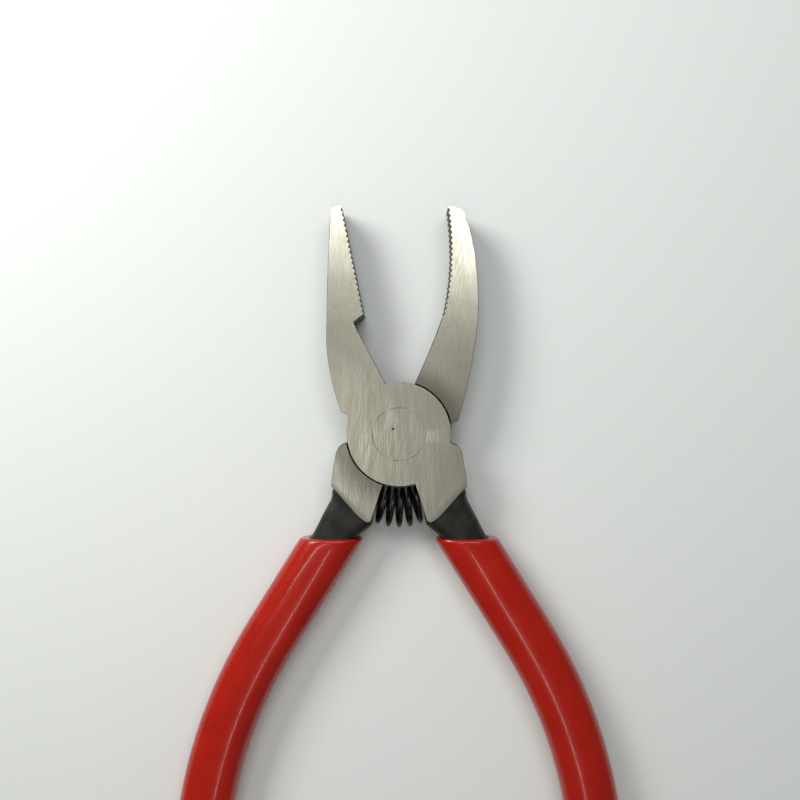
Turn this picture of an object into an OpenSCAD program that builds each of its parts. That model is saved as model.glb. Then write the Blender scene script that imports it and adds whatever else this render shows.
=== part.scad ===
/* [Head] */
// Thickness of the head, ground flat on both faces
head_t = 12.4; // [12:0.1:13]
// Radius of the two round lap discs
lap_r = 13.4; // [13:0.1:13.5]
// Gap between a lap disc and the curved shoulder of the other half
lap_gap = 0.3; // [0.2:0.05:0.35]
// Gap between the two lap faces that slide on each other
face_gap = 0.1; // [0.04:0.02:0.2]

/* [Rivet] */
// Radius of the rivet's flush heads
rivet_head_r = 6.9; // [6:0.1:8]
// Height of each rivet head
rivet_head_h = 2.2; // [1.5:0.1:3]
// Radius of the rivet's shank
rivet_shank_r = 4.5; // [3.5:0.1:5]
// Running clearance between the rivet and the half that turns on it
rivet_clearance = 0.06; // [0.02:0.01:0.1]

/* [Jaws] */
// How much each face of a jaw drops from the head to the tip
tip_drop = 1.2; // [0.6:0.1:1.8]
// Teeth on each jaw
teeth = 20; // [16:1:24]
// Depth of the teeth
tooth_depth = 0.5; // [0.3:0.05:0.6]

/* [Spring] */
// Distance of the spring's axis from the pivot
spring_r = 18.8; // [18.7:0.1:18.9]
// Mean radius of the coils
coil_r = 4.25; // [4:0.05:4.25]
// Radius of the spring wire
wire_r = 0.58; // [0.4:0.02:0.58]
// Advance of the coil in one turn
coil_pitch = 2.24; // [2.1:0.02:2.4]
// How much the middle of the spring swells
spring_swell = 0.6; // [0:0.1:0.6]
// Depth of the round seat in each tang
seat_depth = 4; // [3.5:0.1:4.2]

/* [Grips] */
// Half of the sleeve's width
sleeve_half_w = 7.2; // [6.6:0.1:7.2]
// Half of the sleeve's thickness
sleeve_half_t = 6; // [5.6:0.1:6.2]
// Slant of the straight part of a grip, away from the tool's centre line
grip_angle = 32; // [31:0.5:33]
// How far the grip turns back towards the centre line
grip_turn = 26; // [20:1:30]
// Radius of that bend
bend_r = 120; // [100:5:140]
// Length of the straight end of the grip
grip_end_l = 36; // [30:1:42]

/* [Hidden] */
mid_z = head_t / 2;
clear_r = lap_r + lap_gap;
big = 400;

// Jaw outlines, seen from above with the tips towards +Y
straight_tip = [-14.75, 58.5];
straight_teeth_end = [-9.0, 30.9];
straight_notch = [-11.7, 28.8];
curved_tip = [12.6, 58.4];
curved_teeth_end = [11.3, 30.3];

// The gap between the tangs is a sector: each inner face lies on a line through the pivot
tang_face_angle = 18;
tang_face_start = 12.6;
tang_face_end = 23.4;

// Point that the straight part of the left grip's axis passes through
grip_origin = [-20.6, -32.2];
straight_l = 25;
bend_l = bend_r * grip_turn * PI / 180;
grip_l = straight_l + bend_l + grip_end_l;
sides = 32;

// The forged shank along the grip's axis: [distance, value]
inner_edge = [[-22, 4.6], [-19, 5.4], [-15.8, 6.35], [-14.3, 6.95], [-11.4, 6], [-9.5, 5.4], [0, 4.9]];
outer_edge = [[-22, 6.3], [-18, 6.8], [-16.4, 6.5], [-14.8, 5.6], [-10, 5.35], [-5, 4.8], [0, 4.9]];
half_height = [[-22, 5.7], [-17, 5.85], [-15.4, 5.75], [-11.4, 5.5], [-6, 5.05], [0, 4.6]];
squareness = [[-22, 5], [-15, 4.6], [-8, 3.4], [0, 2.6]];
core_gap = 0.05;
core_end = grip_l - 4;
core_tail = 5;

// Each ground face of a tang rolls off along a slanting line before the forged shank
runout_slant = 45;
runout_start = 20.5;
runout_end = 23;
runout_drop = 0.4;

// The sleeve's mouth is level across the tool, so its rings lean there
mouth = -6;
lean_l = 14;
lip = 0.6;
dome_l = 7;
sleeve_squareness = 2.4;

// The spring's axis: an arc across the gap, then straight into each seat
arc_l = spring_r * tang_face_angle * PI / 180;
spring_half_l = arc_l + seat_depth - wire_r - 0.15;
seat_r = coil_r + wire_r + 0.15;
coil_steps = 16;

// Point at t on the curve from a to c that b pulls towards itself
function bend(a, b, c, t) = (1 - t) * (1 - t) * a + 2 * t * (1 - t) * b + t * t * c;

function curve(a, b, c, steps) = [for (i = [0:steps]) bend(a, b, c, i / steps)];

// The same curve with teeth cut into the side that bite points to
function toothed(a, b, c, bite) = [
    for (i = [0:2 * teeth])
        bend(a, b, c, i / teeth / 2) + (i % 2) * tooth_depth * bite
];

// Direction of the grip at distance t along its axis, and the point there
function heading(t) = grip_angle - grip_turn * max(0, min(1, (t - straight_l) / bend_l));

function along(angle) = [-sin(angle), -cos(angle)];

function across(angle) = [cos(angle), -sin(angle)];

function bend_point(angle) =
    grip_origin + straight_l * along(grip_angle)
    + bend_r * [cos(grip_angle) - cos(angle), sin(angle) - sin(grip_angle)];

function axis_point(t) =
    t < straight_l ? grip_origin + t * along(grip_angle)
    : bend_point(heading(t)) + max(0, t - straight_l - bend_l) * along(heading(t));

// Corner of a rounded box of unit size: a circle at power 2, squarer above it
function unit_box(a, power) = [
    sign(cos(a)) * pow(abs(cos(a)), 2 / power),
    sign(sin(a)) * pow(abs(sin(a)), 2 / power)
];

function round_end(t, end, length) = sqrt(max(0.01, 1 - pow(max(0, t - end + length) / length, 2)));

function grip_point(t, x, z) =
    let (p = axis_point(t) + x * across(heading(t)))
    [p[0], p[1], mid_z + z];

// Point on the steel core, grown by a margin; the ring leans by lean
function core_point(t, a, grow, lean) =
    let (
        c = unit_box(a, lookup(t, squareness)),
        k = round_end(t, core_end, core_tail),
        inner = lookup(t, inner_edge),
        outer = lookup(t, outer_edge),
        shift = lean * (inner + outer) / 2 * c[0] * tan(grip_angle),
        u = t - shift,
        in_u = lookup(u, inner_edge),
        out_u = lookup(u, outer_edge),
        x = (in_u - out_u) / 2 + c[0] * (in_u + out_u) / 2
    )
    grip_point(u, k * x + grow * c[0], (k * lookup(u, half_height) + grow) * c[1]);

// Point on the outside of the sleeve, drawn in by lip_in near the mouth
function sleeve_point(t, a, lip_in, lean) =
    let (
        c = unit_box(a, sleeve_squareness),
        k = round_end(t, grip_l, dome_l),
        x = k * (sleeve_half_w - lip_in) * c[0]
    )
    grip_point(t - lean * x * tan(grip_angle), x, k * (sleeve_half_t - lip_in) * c[1]);

function lean_at(t) = max(0, 1 - (t - mouth) / lean_l);

function core_ring(t, grow, lean) =
    [for (i = [0:sides - 1]) core_point(t, 360 * i / sides, grow, lean)];

function sleeve_ring(t, lip_in) =
    [for (i = [0:sides - 1]) sleeve_point(t, 360 * i / sides, lip_in, lean_at(t))];

// Angle of the spring's axis at length u from its middle
function spring_angle(u) = max(-1, min(1, u / arc_l)) * tang_face_angle;

function swell(u) = spring_swell * (1 - pow(min(1, abs(u) / arc_l), 4));

function spring_axis(u) =
    let (a = spring_angle(u), spare = sign(u) * max(0, abs(u) - arc_l))
    (spring_r + swell(u)) * [sin(a), -cos(a), 0] + spare * [cos(a), sin(a), 0] + [0, 0, mid_z];

function coil_angle(u) = 360 * u / coil_pitch;

function wire_ring(u) =
    let (
        a = spring_angle(u),
        outward = cos(coil_angle(u)) * [sin(a), -cos(a), 0] + sin(coil_angle(u)) * [0, 0, 1],
        tangent = [cos(a), sin(a), 0]
    )
    [
        for (i = [0:7])
            spring_axis(u) + (coil_r + swell(u) + wire_r * cos(45 * i)) * outward
            + wire_r * sin(45 * i) * tangent
    ];

// A closed skin through rings of points that all have the same count
module loft(rings) {
    count = len(rings[0]);
    last = (len(rings) - 1) * count;
    polyhedron(
        points = [for (ring = rings) each ring],
        faces = [
            [for (i = [0:count - 1]) i],
            [for (i = [count - 1:-1:0]) last + i],
            for (start = [0:count:last - 1], i = [0:count - 1])
                let (next = (i + 1) % count)
                each [
                    [start + i, start + count + next, start + next],
                    [start + i, start + count + i, start + count + next]
                ]
        ]
    );
}

module straight_jaw_outline() {
    polygon([
        each curve([-14.8, 5.7], [-18.6, 16], [-18.7, 25], 6),
        [-18.4, 40],
        [-17.7, 57.4],
        [-17, 58.3],
        [-15.2, 59],
        each toothed(straight_tip, (straight_tip + straight_teeth_end) / 2, straight_teeth_end, [-1, 0]),
        straight_notch,
        [-10.8, 26.7],
        [-3.8, 13.6],
        [-2, 8],
        [-8, 3],
        [-12.9, 3.7],
        [-13.3, 5.3]
    ]);
}

module curved_jaw_outline() {
    polygon([
        [13.5, 2.9],
        each curve([15.1, 3.4], [19.7, 18.9], [20.4, 32], 8),
        each curve([20.38, 34], [20.3, 49], [16.6, 57.5], 8),
        [15.9, 58],
        [12.9, 58.8],
        each toothed(curved_tip, [14.7, 44], curved_teeth_end, [1, 0]),
        each curve([10.9, 29.2], [8.6, 22.6], [4.4, 13.6], 4),
        [2.5, 8],
        [8, 2]
    ]);
}

module left_tang_outline() {
    polygon([
        [-9, -1.5],
        [-13.2, -2.2],
        [-15.3, -3],
        [-16.1, -4.4],
        [-17.2, -10.6],
        [-17.4, -13.3],
        [-16.2, -14.7],
        [-10.8, -20.8],
        [-9, -22.3],
        [-8.1, -22.7],
        tang_face_end * along(tang_face_angle),
        tang_face_start * along(tang_face_angle),
        [-2.5, -8]
    ]);
}

// Side view of the jaws: both faces fall away in a shallow curve to the tips
module jaw_taper() {
    rotate([90, 0, 90])
        linear_extrude(big, center = true)
            polygon([
                [-5, 0],
                each curve([18, 0], [42, 0], [61, tip_drop], 8),
                each curve([61, head_t - tip_drop], [42, head_t], [18, head_t], 8),
                [-5, head_t]
            ]);
}

// Side view of the left tang along its slant: flat, then rolling off on both faces
module tang_runout() {
    rotate([90, 0, -90 - runout_slant])
        linear_extrude(big, center = true)
            polygon([
                [-5, 0],
                each curve([runout_start, 0], [22, 0], [runout_end, runout_drop], 6),
                each curve([runout_end, head_t - runout_drop], [22, head_t], [runout_start, head_t], 6),
                [-5, head_t]
            ]);
}

module left_tang() {
    shank_rings = [-22, -20, -18, -16.4, -15.4, -14.3, -13, -11.4, -9.5, -7, -4, 0];
    grip_steps = 16;
    intersection() {
        linear_extrude(head_t)
            left_tang_outline();
        tang_runout();
    }
    loft([
        for (t = shank_rings) core_ring(t, 0, 0),
        for (i = [1:grip_steps]) core_ring((core_end - core_tail) * i / grip_steps, 0, 0),
        for (f = [0.5, 0.8, 0.95, 1]) core_ring(core_end - core_tail * (1 - f), 0, 0)
    ]);
}

module left_spring_seat() {
    rotate([0, 0, -tang_face_angle])
        translate([0.5, -spring_r, mid_z])
            rotate([0, -90, 0])
                cylinder(r = seat_r, h = seat_depth + 0.5, $fn = 64);
}

module sleeve() {
    inner_steps = 18;
    outer_steps = 18;
    deep = core_end + 0.05;
    loft([
        for (f = [1, 0.95, 0.8, 0.5]) core_ring(deep - core_tail * (1 - f), core_gap, 0),
        for (i = [inner_steps:-1:1])
            let (t = mouth + (deep - core_tail - mouth) * i / inner_steps)
            core_ring(t, core_gap, lean_at(t)),
        core_ring(mouth + lip, core_gap, lean_at(mouth + lip)),
        core_ring(mouth, core_gap, 1),
        sleeve_ring(mouth, lip),
        sleeve_ring(mouth + lip, lip / 6),
        for (i = [0:outer_steps])
            sleeve_ring(mouth + 2 * lip + (grip_l - dome_l - mouth - 2 * lip) * i / outer_steps, 0),
        for (f = [0.35, 0.65, 0.85, 0.97, 1]) sleeve_ring(grip_l - dome_l * (1 - f), 0)
    ]);
}

// Upper half: straight jaw on the left, its handle on the right
module straight_jaw_half() {
    lap_z = mid_z + face_gap / 2;
    color([0.62, 0.61, 0.55])
        difference() {
            union() {
                translate([0, 0, lap_z])
                    cylinder(r = lap_r, h = head_t - lap_z, $fn = 128);
                intersection() {
                    linear_extrude(head_t)
                        straight_jaw_outline();
                    jaw_taper();
                }
                mirror([1, 0, 0])
                    left_tang();
            }
            translate([0, 0, -1])
                cylinder(r = clear_r, h = lap_z + 1, $fn = 128);
            translate([0, 0, -1])
                cylinder(r = rivet_shank_r, h = head_t + 2, $fn = 64);
            translate([0, 0, head_t - rivet_head_h])
                cylinder(r = rivet_head_r, h = rivet_head_h + 1, $fn = 96);
            mirror([1, 0, 0])
                left_spring_seat();
        }
}

// Lower half: curved jaw on the right, its handle on the left
module curved_jaw_half() {
    lap_h = mid_z - face_gap / 2;
    color([0.62, 0.61, 0.55])
        difference() {
            union() {
                cylinder(r = lap_r, h = lap_h, $fn = 128);
                intersection() {
                    linear_extrude(head_t)
                        curved_jaw_outline();
                    jaw_taper();
                }
                left_tang();
            }
            translate([0, 0, lap_h])
                cylinder(r = clear_r, h = head_t, $fn = 128);
            translate([0, 0, -1])
                cylinder(r = rivet_shank_r + rivet_clearance, h = head_t + 2, $fn = 64);
            translate([0, 0, -1])
                cylinder(r = rivet_head_r + rivet_clearance, h = rivet_head_h + rivet_clearance + 1, $fn = 96);
            left_spring_seat();
        }
}

module pivot_rivet() {
    color([0.66, 0.64, 0.58])
        union() {
            cylinder(r = rivet_head_r, h = rivet_head_h, $fn = 96);
            cylinder(r = rivet_shank_r, h = head_t, $fn = 64);
            translate([0, 0, head_t - rivet_head_h])
                cylinder(r = rivet_head_r, h = rivet_head_h, $fn = 96);
        }
}

module return_spring() {
    turns = coil_angle(spring_half_l) / 180;
    steps = ceil(turns * coil_steps);
    color([0.07, 0.07, 0.07])
        loft([for (i = [0:steps]) wire_ring(spring_half_l * (2 * i / steps - 1))]);
}

module left_grip_sleeve() {
    color([0.76, 0.12, 0.05])
        sleeve();
}

module right_grip_sleeve() {
    color([0.76, 0.12, 0.05])
        mirror([1, 0, 0])
            sleeve();
}

straight_jaw_half();
curved_jaw_half();
pivot_rivet();
return_spring();
left_grip_sleeve();
right_grip_sleeve();
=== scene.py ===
"""Spring-opened crimping pliers: materials, finished meshes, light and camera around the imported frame."""

import math

import bmesh
import bpy
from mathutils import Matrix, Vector


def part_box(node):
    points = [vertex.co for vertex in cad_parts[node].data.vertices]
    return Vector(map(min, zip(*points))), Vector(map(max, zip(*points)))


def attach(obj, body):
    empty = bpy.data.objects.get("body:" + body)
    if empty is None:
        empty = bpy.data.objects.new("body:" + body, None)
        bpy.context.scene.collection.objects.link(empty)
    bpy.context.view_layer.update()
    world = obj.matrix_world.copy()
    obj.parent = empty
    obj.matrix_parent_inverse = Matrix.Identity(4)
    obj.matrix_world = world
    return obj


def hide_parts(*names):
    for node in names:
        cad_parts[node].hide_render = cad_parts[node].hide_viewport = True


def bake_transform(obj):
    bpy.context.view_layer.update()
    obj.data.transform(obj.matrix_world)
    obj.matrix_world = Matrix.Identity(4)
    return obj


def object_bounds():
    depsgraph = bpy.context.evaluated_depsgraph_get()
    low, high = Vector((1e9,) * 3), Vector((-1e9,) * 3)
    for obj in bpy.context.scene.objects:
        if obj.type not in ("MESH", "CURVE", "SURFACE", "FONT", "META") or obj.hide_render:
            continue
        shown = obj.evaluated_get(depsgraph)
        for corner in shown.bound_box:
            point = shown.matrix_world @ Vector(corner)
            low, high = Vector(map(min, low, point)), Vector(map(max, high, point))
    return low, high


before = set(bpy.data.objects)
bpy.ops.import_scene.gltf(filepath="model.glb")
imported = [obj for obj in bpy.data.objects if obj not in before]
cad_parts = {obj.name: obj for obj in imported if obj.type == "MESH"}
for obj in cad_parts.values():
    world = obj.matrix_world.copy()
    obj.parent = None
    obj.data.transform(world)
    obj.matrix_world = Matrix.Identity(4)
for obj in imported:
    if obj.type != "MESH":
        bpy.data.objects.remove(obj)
cad_low, cad_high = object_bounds()

MM = 0.001
UPPER_BODY = "straight_half"
LOWER_BODY = "curved_half"

# The head's thickness and the rivet's radius, read from the frame
rivet_low, rivet_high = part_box("pivot_rivet")
HEAD_T = rivet_high[2] - rivet_low[2]
MID_Z = (rivet_high[2] + rivet_low[2]) / 2
RIVET_R = rivet_high[0]


# ---------------------------------------------------------------- node helpers


class Shader:
    """A material's node tree, with short calls for the few node types used here."""

    def __init__(self, name):
        self.material = bpy.data.materials.new(name)
        self.material.use_nodes = True
        self.nodes = self.material.node_tree.nodes
        self.links = self.material.node_tree.links
        self.nodes.clear()
        self.surface = self.nodes.new("ShaderNodeBsdfPrincipled")
        output = self.nodes.new("ShaderNodeOutputMaterial")
        self.links.new(self.surface.outputs["BSDF"], output.inputs["Surface"])
        self.place = self.nodes.new("ShaderNodeTexCoord").outputs["Object"]

    def set(self, **values):
        """Plain values on the shader's own sockets."""
        for name, value in values.items():
            self.surface.inputs[name.replace("_", " ")].default_value = value

    def link(self, source, name):
        self.links.new(source, self.surface.inputs[name])

    def _feed(self, socket, value):
        if isinstance(value, bpy.types.NodeSocket):
            self.links.new(value, socket)
        else:
            socket.default_value = value

    def math(self, operation, a, b=0.0):
        node = self.nodes.new("ShaderNodeMath")
        node.operation = operation
        self._feed(node.inputs[0], a)
        self._feed(node.inputs[1], b)
        return node.outputs[0]

    def ramp(self, value, low, high, to_low=0.0, to_high=1.0):
        """value from low..high to to_low..to_high, clamped, with soft ends."""
        node = self.nodes.new("ShaderNodeMapRange")
        node.interpolation_type = "SMOOTHSTEP"
        self._feed(node.inputs["Value"], value)
        node.inputs["From Min"].default_value = low
        node.inputs["From Max"].default_value = high
        node.inputs["To Min"].default_value = to_low
        node.inputs["To Max"].default_value = to_high
        return node.outputs["Result"]

    def grain(self, width, length, turn):
        """Coordinates for marks of this size in millimetres, slanted from +Y by turn degrees."""
        node = self.nodes.new("ShaderNodeMapping")
        node.vector_type = "TEXTURE"
        self.links.new(self.place, node.inputs["Vector"])
        node.inputs["Rotation"].default_value = (0, 0, math.radians(turn))
        node.inputs["Scale"].default_value = (width * MM, length * MM, 4 * width * MM)
        return node.outputs["Vector"]

    def noise(self, vector, scale=1.0, detail=4.0, rough=0.55):
        node = self.nodes.new("ShaderNodeTexNoise")
        self.links.new(vector, node.inputs["Vector"])
        node.inputs["Scale"].default_value = scale
        node.inputs["Detail"].default_value = detail
        node.inputs["Roughness"].default_value = rough
        return node.outputs["Fac"]

    def mix(self, factor, a, b):
        node = self.nodes.new("ShaderNodeMix")
        node.data_type = "RGBA"
        self._feed(node.inputs[0], factor)
        self._feed(node.inputs[6], a)
        self._feed(node.inputs[7], b)
        return node.outputs[2]

    def blend(self, factor, a, b):
        node = self.nodes.new("ShaderNodeMix")
        self._feed(node.inputs[0], factor)
        self._feed(node.inputs[2], a)
        self._feed(node.inputs[3], b)
        return node.outputs[0]

    def bump(self, height, distance, strength=1.0):
        node = self.nodes.new("ShaderNodeBump")
        node.inputs["Distance"].default_value = distance
        node.inputs["Strength"].default_value = strength
        self.links.new(height, node.inputs["Height"])
        self.link(node.outputs["Normal"], "Normal")

    def axis(self, vector, name):
        node = self.nodes.new("ShaderNodeSeparateXYZ")
        self.links.new(vector, node.inputs[0])
        return node.outputs[name]


# ------------------------------------------------------------------- materials

GROUND_SCRATCHED = (0.33, 0.305, 0.24, 1)
GROUND_DULL = (0.43, 0.41, 0.335, 1)
GROUND_CLEAN = (0.51, 0.49, 0.41, 1)
# Painted shade for ground flats beside the other half's disc
GROUND_SHADED = (0.06, 0.054, 0.042, 1)
# A painted highlight: near-white colour for the tangs' band that rolls off the ground face
ROLLOFF_PAINTED_HIGHLIGHT = (0.9, 0.88, 0.8, 1)
# A dark line round the rivet's rim, also used as painted shade on the rivet's tilted faces
RIM_LINE_AND_PAINTED_SHADE = (0.09, 0.085, 0.065, 1)
OXIDE_DARK = (0.007, 0.006, 0.0035, 1)
OXIDE_PALE = (0.025, 0.0215, 0.015, 1)

# Belt marks: the height that one mark adds to a ground face
MARK_DEPTH = 0.01 * MM
MARK_STRENGTH = 0.13
# Single scratches: width and length in millimetres, slant in degrees, lighter or darker
SINGLE_SCRATCHES = ((1.3, 45, 12, 0.08), (1.6, 50, -18, -0.08), (2.0, 60, 2, 0.08))
# The belt leaves the tangs below this line, and the jaws above it are ground all over
JAWS_START = (-9 * MM, -8 * MM)


def scratches(s):
    """Belt marks along the tool, mixed with longer single scratches at other slants."""
    fine = s.noise(s.grain(0.16, 9, 2), detail=3, rough=0.7)
    slanted = s.noise(s.grain(0.24, 12, -7), detail=3, rough=0.6)
    broad = s.noise(s.grain(1.6, 30, 4), detail=2)
    marks = s.math("ADD", s.math("MULTIPLY", fine, 0.45),
                   s.math("ADD", s.math("MULTIPLY", slanted, 0.35), s.math("MULTIPLY", broad, 0.2)))
    for width, length, turn, strength in SINGLE_SCRATCHES:
        drift = s.math("ABSOLUTE", s.math("SUBTRACT", s.noise(s.grain(width, length, turn), detail=1), 0.5))
        marks = s.math("ADD", marks, s.ramp(drift, 0, 0.03, strength, 0))
    return marks


def ground_steel(s):
    """Colour, roughness and height of a belt-ground flat."""
    marks = scratches(s)
    clouds = s.noise(s.place, 85, detail=3)
    light = s.mix(s.ramp(clouds, 0.3, 0.7), GROUND_DULL, GROUND_CLEAN)
    colour = s.mix(s.ramp(marks, 0.36, 0.62), GROUND_SCRATCHED, light)
    return colour, s.ramp(marks, 0.35, 0.65, 0.34, 0.26), marks


def from_pivot(s):
    """Distance from the rivet's axis."""
    x, y = s.axis(s.place, "X"), s.axis(s.place, "Y")
    return s.math("SQRT", s.math("ADD", s.math("MULTIPLY", x, x), s.math("MULTIPLY", y, y)))


def half_steel(name, shade_by_disc):
    """Belt-ground flats on a black forging, with painted shade beside the disc; shade_by_disc is the flats'
    brightness there.

    A face is ground where it looks up or down and, on the tangs, lies near the head's own faces.
    """
    s = Shader(name)
    ground, ground_rough, marks = ground_steel(s)
    # Painted shade: the flats darken towards GROUND_SHADED near the disc's edge, standing for the other
    # half's disc shading them.
    beside = s.ramp(from_pivot(s), 13.6 * MM, 21 * MM, 1 - shade_by_disc, 0)
    ground = s.mix(beside, ground, GROUND_SHADED)

    jaw = s.ramp(s.axis(s.place, "Y"), *JAWS_START)
    off_mid = s.math("ABSOLUTE", s.math("SUBTRACT", s.axis(s.place, "Z"), MID_Z))
    facing = s.math("ABSOLUTE", s.axis(s.nodes.new("ShaderNodeNewGeometry").outputs["Normal"], "Z"))
    up = s.ramp(s.math("SUBTRACT", facing, s.math("MULTIPLY", jaw, 0.06)), 0.885, 0.915)
    # Painted highlight: on the tangs, the band just below the ground face is coloured near-white, standing
    # for a reflection.
    rolled = s.math("MULTIPLY", s.math("SUBTRACT", 1.0, jaw),
                    s.ramp(off_mid, HEAD_T / 2 - 0.22 * MM, HEAD_T / 2 - 0.005 * MM, 1, 0))
    ground = s.mix(rolled, ground, ROLLOFF_PAINTED_HIGHLIGHT)
    wobble = s.math("MULTIPLY", s.math("SUBTRACT", s.noise(s.place, 700, detail=3), 0.5), 0.12 * MM)
    high = s.ramp(s.math("ADD", off_mid, wobble), HEAD_T / 2 - 0.4 * MM, HEAD_T / 2 - 0.33 * MM)
    is_ground = s.math("MULTIPLY", up, s.math("MAXIMUM", high, jaw))

    skin = s.noise(s.place, 1400, detail=5, rough=0.7)
    patches = s.noise(s.place, 240, detail=3)
    oxide = s.mix(s.ramp(patches, 0.35, 0.7), OXIDE_DARK, OXIDE_PALE)
    s.link(s.mix(is_ground, oxide, ground), "Base Color")
    s.link(s.blend(is_ground, s.ramp(skin, 0.3, 0.7, 0.4, 0.6), ground_rough), "Roughness")
    s.link(s.ramp(is_ground, 0, 1, 0.3, 1.0), "Metallic")
    s.bump(s.blend(is_ground, s.math("MULTIPLY", skin, 12), marks), MARK_DEPTH, MARK_STRENGTH)
    return s.material


def rivet_steel():
    """Ground with the head: a broken dark line round its rim, and painted shade on faces that tilt away from
    up.
    """
    s = Shader("rivet_steel")
    ground, ground_rough, marks = ground_steel(s)
    rim = s.ramp(from_pivot(s), RIVET_R - 0.24 * MM, RIVET_R - 0.12 * MM)
    rim = s.math("MULTIPLY", rim, s.ramp(s.noise(s.place, 260, detail=2), 0.4, 0.56, 0.15, 1))
    facing = s.math("ABSOLUTE", s.axis(s.nodes.new("ShaderNodeNewGeometry").outputs["Normal"], "Z"))
    # Painted shade: faces that tilt away from up, the punch mark and the rim's bevel, are darkened.
    dark = s.math("MAXIMUM", rim, s.ramp(facing, 0.88, 0.96, 1, 0))
    s.link(s.mix(dark, ground, RIM_LINE_AND_PAINTED_SHADE), "Base Color")
    s.link(ground_rough, "Roughness")
    s.set(Metallic=1.0)
    s.bump(marks, MARK_DEPTH, MARK_STRENGTH)
    return s.material


def spring_wire():
    """Black oiled wire with a brown cast where it is rubbed."""
    s = Shader("spring_wire")
    worn = s.noise(s.place, 900, detail=4)
    s.link(s.mix(s.ramp(worn, 0.5, 0.75), (0.006, 0.0055, 0.005, 1), (0.045, 0.034, 0.018, 1)), "Base Color")
    s.link(s.ramp(worn, 0.3, 0.7, 0.24, 0.4), "Roughness")
    s.set(Metallic=0.6)
    s.bump(s.noise(s.place, 3000, detail=2), 0.00001, 0.4)
    return s.material


def vinyl():
    """Glossy dipped vinyl: clear red, faint runs along the grip and a soft orange-peel."""
    s = Shader("red_vinyl")
    runs = s.noise(s.place, 130, detail=2)
    peel = s.noise(s.place, 900, detail=2)
    s.link(s.mix(s.ramp(runs, 0.3, 0.7), (0.38, 0.006, 0.0006, 1), (0.42, 0.009, 0.001, 1)), "Base Color")
    s.link(s.ramp(peel, 0.3, 0.7, 0.2, 0.27), "Roughness")
    s.set(IOR=1.38, Coat_Weight=0.4, Coat_IOR=1.38, Coat_Roughness=0.05)
    s.set(Subsurface_Weight=0.05, Subsurface_Scale=0.0015)
    s.bump(s.math("ADD", runs, s.math("MULTIPLY", peel, 0.06)), 0.00016, 0.5)
    return s.material


def paper():
    """Plain pale paper with a fine tooth."""
    s = Shader("floor_paper")
    fibre = s.noise(s.place, 1500, detail=6, rough=0.7)
    s.link(s.mix(fibre, (0.77, 0.79, 0.765, 1), (0.83, 0.85, 0.825, 1)), "Base Color")
    s.set(Roughness=0.9)
    s.bump(fibre, 0.00003, 0.3)
    return s.material


# ---------------------------------------------------------------------- meshes


def merged_copy(node):
    """The node's mesh in a bmesh, its split vertices merged."""
    mesh = bmesh.new()
    mesh.from_mesh(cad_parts[node].data)
    bmesh.ops.remove_doubles(mesh, verts=mesh.verts, dist=0.002 * MM)
    return mesh


def make_flats_whole(mesh):
    bmesh.ops.dissolve_limit(mesh, angle_limit=math.radians(0.15), verts=mesh.verts, edges=mesh.edges)


def sharp_edges(mesh, degrees):
    return [e for e in mesh.edges if e.is_manifold and e.calc_face_angle(0) > math.radians(degrees)]


def finish_piece(mesh, name, node, material, body):
    """Turns the bmesh into a smooth-shaded piece that stands for its CAD node."""
    data = bpy.data.meshes.new(name)
    for face in mesh.faces:
        face.smooth = True
    mesh.to_mesh(data)
    mesh.free()
    data.materials.append(material)
    piece = bpy.data.objects.new(name, data)
    bpy.context.scene.collection.objects.link(piece)
    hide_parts(node)
    if body:
        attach(piece, body)
    return piece


def keep_creases(piece, degrees):
    piece.data.set_sharp_from_angle(angle=math.radians(degrees))
    weighted = piece.modifiers.new("even_normals", "WEIGHTED_NORMAL")
    weighted.keep_sharp = True


def jaw_half(node, name, material, body):
    """The ground forging: every edge is broken, but the teeth and the rivet's seat stay sharp."""
    teeth_start = 25 * MM
    tooth_w = 1.1 * MM
    edge_w = 0.11 * MM
    mesh = merged_copy(node)
    make_flats_whole(mesh)
    outline = [
        e for e in sharp_edges(mesh, 30)
        if e.verts[0].co.xy.length > RIVET_R + 0.2 * MM
        and (e.verts[0].co.y < teeth_start or min(f.calc_area() for f in e.link_faces) > tooth_w * HEAD_T)
    ]
    bmesh.ops.bevel(mesh, geom=outline, offset=edge_w, segments=2, profile=0.5,
                    affect="EDGES", clamp_overlap=False)
    piece = finish_piece(mesh, name, node, material, body)
    keep_creases(piece, 35)
    return piece


def rolled_copy(node, levels):
    """The node's mesh as quads, rounded by subdivision."""
    mesh = merged_copy(node)
    bmesh.ops.join_triangles(mesh, faces=mesh.faces, angle_face_threshold=math.radians(60),
                             angle_shape_threshold=math.radians(60))
    data = bpy.data.meshes.new("rolled")
    mesh.to_mesh(data)
    mesh.free()
    rough = bpy.data.objects.new("rolled", data)
    bpy.context.scene.collection.objects.link(rough)
    rough.modifiers.new("round", "SUBSURF").levels = levels
    evaluated = rough.evaluated_get(bpy.context.evaluated_depsgraph_get())
    mesh = bmesh.new()
    mesh.from_mesh(evaluated.to_mesh())
    evaluated.to_mesh_clear()
    bpy.data.objects.remove(rough)
    return mesh


def punch(mesh, face, place, radius, depth):
    """A conical dimple pressed into a flat face that looks up."""
    middle = face.calc_center_median()
    mouth = bmesh.ops.extrude_discrete_faces(mesh, faces=[face])["faces"][0]
    for vert in mouth.verts:
        vert.co = place + radius * (vert.co - middle).normalized()
    bmesh.ops.poke(mesh, faces=[mouth])["verts"][0].co.z -= depth


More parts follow.
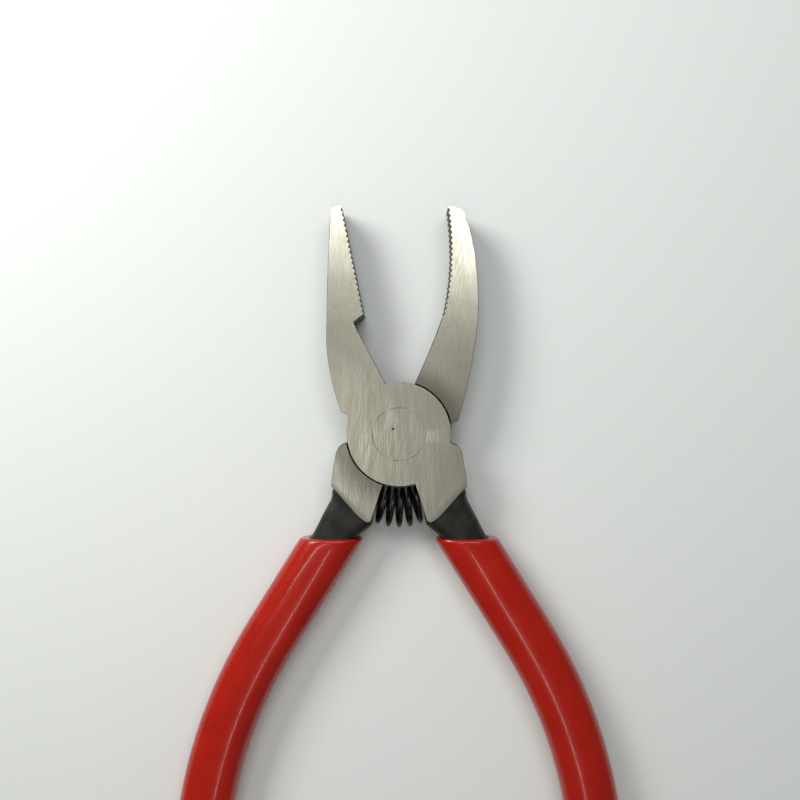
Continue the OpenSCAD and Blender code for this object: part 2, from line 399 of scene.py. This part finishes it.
def rivet(material):
    """The flush rivet, a punch mark off its centre."""
    rim_w = 0.02 * MM
    mark_place = Vector((-1.5 * MM, 1.4 * MM, rivet_high[2]))
    mark_r = 0.32 * MM
    mesh = merged_copy("pivot_rivet")
    make_flats_whole(mesh)
    bmesh.ops.bevel(mesh, geom=sharp_edges(mesh, 60), offset=rim_w, segments=1, profile=0.5,
                    affect="EDGES", clamp_overlap=True)
    top = max(mesh.faces, key=lambda face: (round(face.calc_center_median().z, 5), face.calc_area()))
    punch(mesh, top, mark_place, mark_r, mark_r)
    piece = finish_piece(mesh, "pivot_rivet_ground", "pivot_rivet", material, UPPER_BODY)
    piece.data.shade_flat()
    return piece


def sleeve(side, material, body):
    """A dipped grip: the part's own rings, rounded."""
    return finish_piece(rolled_copy(side + "_grip_sleeve", 2), side + "_grip_dipped",
                        side + "_grip_sleeve", material, body)


def spring(material):
    """The coil, rounded by one level of subdivision and smooth-shaded; it is attached to neither half."""
    piece = finish_piece(rolled_copy("return_spring", 1), "return_spring_coil", "return_spring",
                         material, None)
    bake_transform(piece)
    return piece


# ----------------------------------------------------------- floor, light, camera


def floor():
    """The paper, just under the object."""
    half = 1.2
    data = bpy.data.meshes.new("floor")
    corners = [(-half, -half, 0), (half, -half, 0), (half, half, 0), (-half, half, 0)]
    data.from_pydata(corners, [], [(0, 1, 2, 3)])
    data.materials.append(paper())
    plane = bpy.data.objects.new("floor", data)
    plane.location.z = cad_low[2] - 0.02 * MM
    bpy.context.scene.collection.objects.link(plane)


def softbox(name, place, aim, size, power, colour):
    """A rectangular lamp at place, turned towards aim; size in metres and power in watts."""
    data = bpy.data.lights.new(name, "AREA")
    data.shape = "RECTANGLE"
    data.size, data.size_y = size
    data.energy = power
    data.color = colour
    lamp = bpy.data.objects.new(name, data)
    lamp.location = place
    lamp.rotation_euler = (Vector(aim) - Vector(place)).to_track_quat("-Z", "Y").to_euler()
    bpy.context.scene.collection.objects.link(lamp)


def light():
    """A soft key from the upper left, a panel that the jaw tips mirror, and strips for the grips."""
    softbox("key", (-0.27, 0.22, 0.27), (-0.08, 0.08, 0), (0.2, 0.18), 1.3, (1.0, 1.0, 0.98))
    softbox("left_strip", (-0.15, -0.03, 0.6), (0, -0.03, 0), (0.014, 0.3), 0.2, (1.0, 1.0, 0.98))
    softbox("right_strip", (0.02, -0.28, 0.6), (0, -0.03, 0), (0.011, 0.26), 0.15, (1.0, 1.0, 0.98))
    softbox("tip_panel", (0.05, 0.25, 0.5), (0, 0.06, 0), (0.36, 0.18), 1.1, (0.97, 0.99, 1.0))
    world = bpy.data.worlds.new("studio")
    world.use_nodes = True
    back = world.node_tree.nodes["Background"]
    back.inputs["Color"].default_value = (0.93, 0.97, 0.93, 1)
    back.inputs["Strength"].default_value = 0.19
    bpy.context.scene.world = world


def camera():
    """Straight above the head, a little towards the jaws, with the tips at the top of the view."""
    distance = 250 * MM
    view_width = 205.1 * MM
    data = bpy.data.cameras.new("camera")
    data.sensor_width = 36
    data.lens = data.sensor_width * distance / view_width
    eye = bpy.data.objects.new("camera", data)
    eye.location = (0.25 * MM, 8.8 * MM, HEAD_T + distance)
    bpy.context.scene.collection.objects.link(eye)
    bpy.context.scene.camera = eye


bpy.context.scene.view_settings.view_transform = "Standard"
red = vinyl()
# Two copies of one steel: the lower half's flats carry painted shade beside the upper half's disc, the upper
# half's none.
jaw_half("straight_jaw_half", "straight_jaw_forging", half_steel("upper_steel", 1.0), UPPER_BODY)
jaw_half("curved_jaw_half", "curved_jaw_forging", half_steel("lower_steel", 0.4), LOWER_BODY)
rivet(rivet_steel())
spring(spring_wire())
sleeve("right", red, UPPER_BODY)
sleeve("left", red, LOWER_BODY)
floor()
light()
camera()
